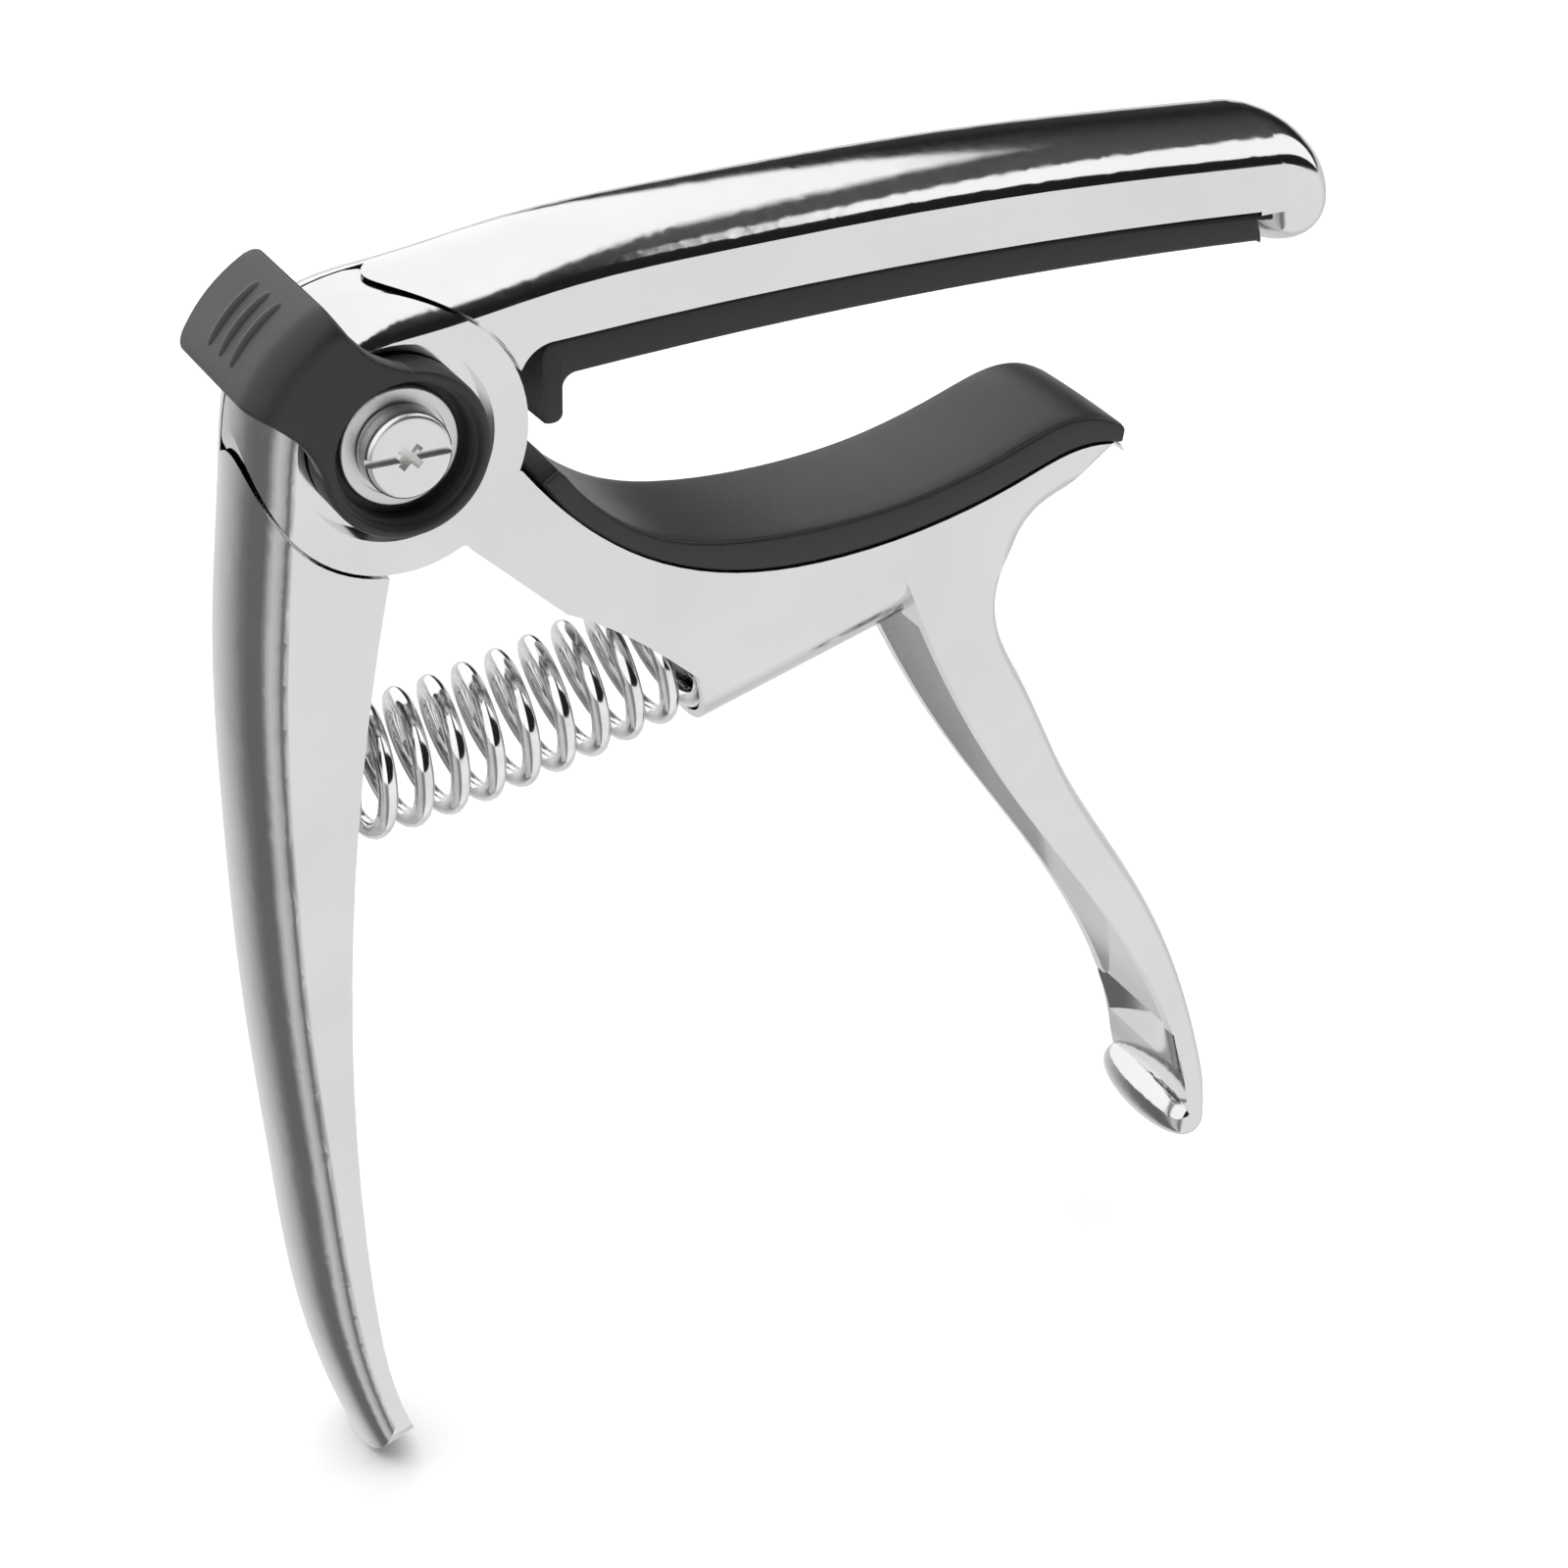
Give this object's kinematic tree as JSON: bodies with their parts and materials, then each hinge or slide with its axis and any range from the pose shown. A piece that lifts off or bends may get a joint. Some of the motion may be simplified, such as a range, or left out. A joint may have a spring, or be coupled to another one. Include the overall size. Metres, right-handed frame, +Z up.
{
  "type": "guitar capo",
  "caption": "Trigger-style guitar capo: two sprung levers on one pivot, rubber-padded fret arm and curved neck jaw, a pick holder on the pivot and a bridge-pin puller on the handle.",
  "frame": {"origin": "where the pivot's axis meets the flat far side face of the levers", "axes": "+X from the pivot along the fret arm, +Z up out of the arm's back, +Y out of the far side face along the pivot's axis"},
  "size_m": [0.0883, 0.0146, 0.0986],
  "materials": {
    "lever_metal": "bright satin plating on cast alloy",
    "fret_rubber": "matte",
    "jaw_rubber": "soft satin",
    "holder_rubber": "matte",
    "spring_steel": "bright",
    "screw_steel": "satin nickel",
    "washer_steel": "satin nickel",
    "slip_plastic": "matte"
  },
  "bodies": {
    "fret_body": {"fret_lever": "lever_metal", "fret_pad": "fret_rubber", "pick_holder": "holder_rubber", "pivot_screw": "screw_steel", "sleeve_nut": "screw_steel", "dished_washer": "washer_steel", "thrust_washer": "washer_steel", "return_spring": "spring_steel"},
    "jaw_body": {"jaw_lever": "lever_metal", "jaw_pad": "jaw_rubber", "pivot_bush": "slip_plastic", "holder_washer": "slip_plastic"}
  },
  "joints": [
    {"name": "jaw_hinge", "type": "hinge", "parent": "fret_body", "child": "jaw_body", "pos_m": [0, 0, 0], "axis": [0, 1, 0], "range_deg": [0, 30], "stiffness_Nm_per_rad": 1, "springref_deg": -0.57, "deforming": ["return_spring"]}
  ]
}
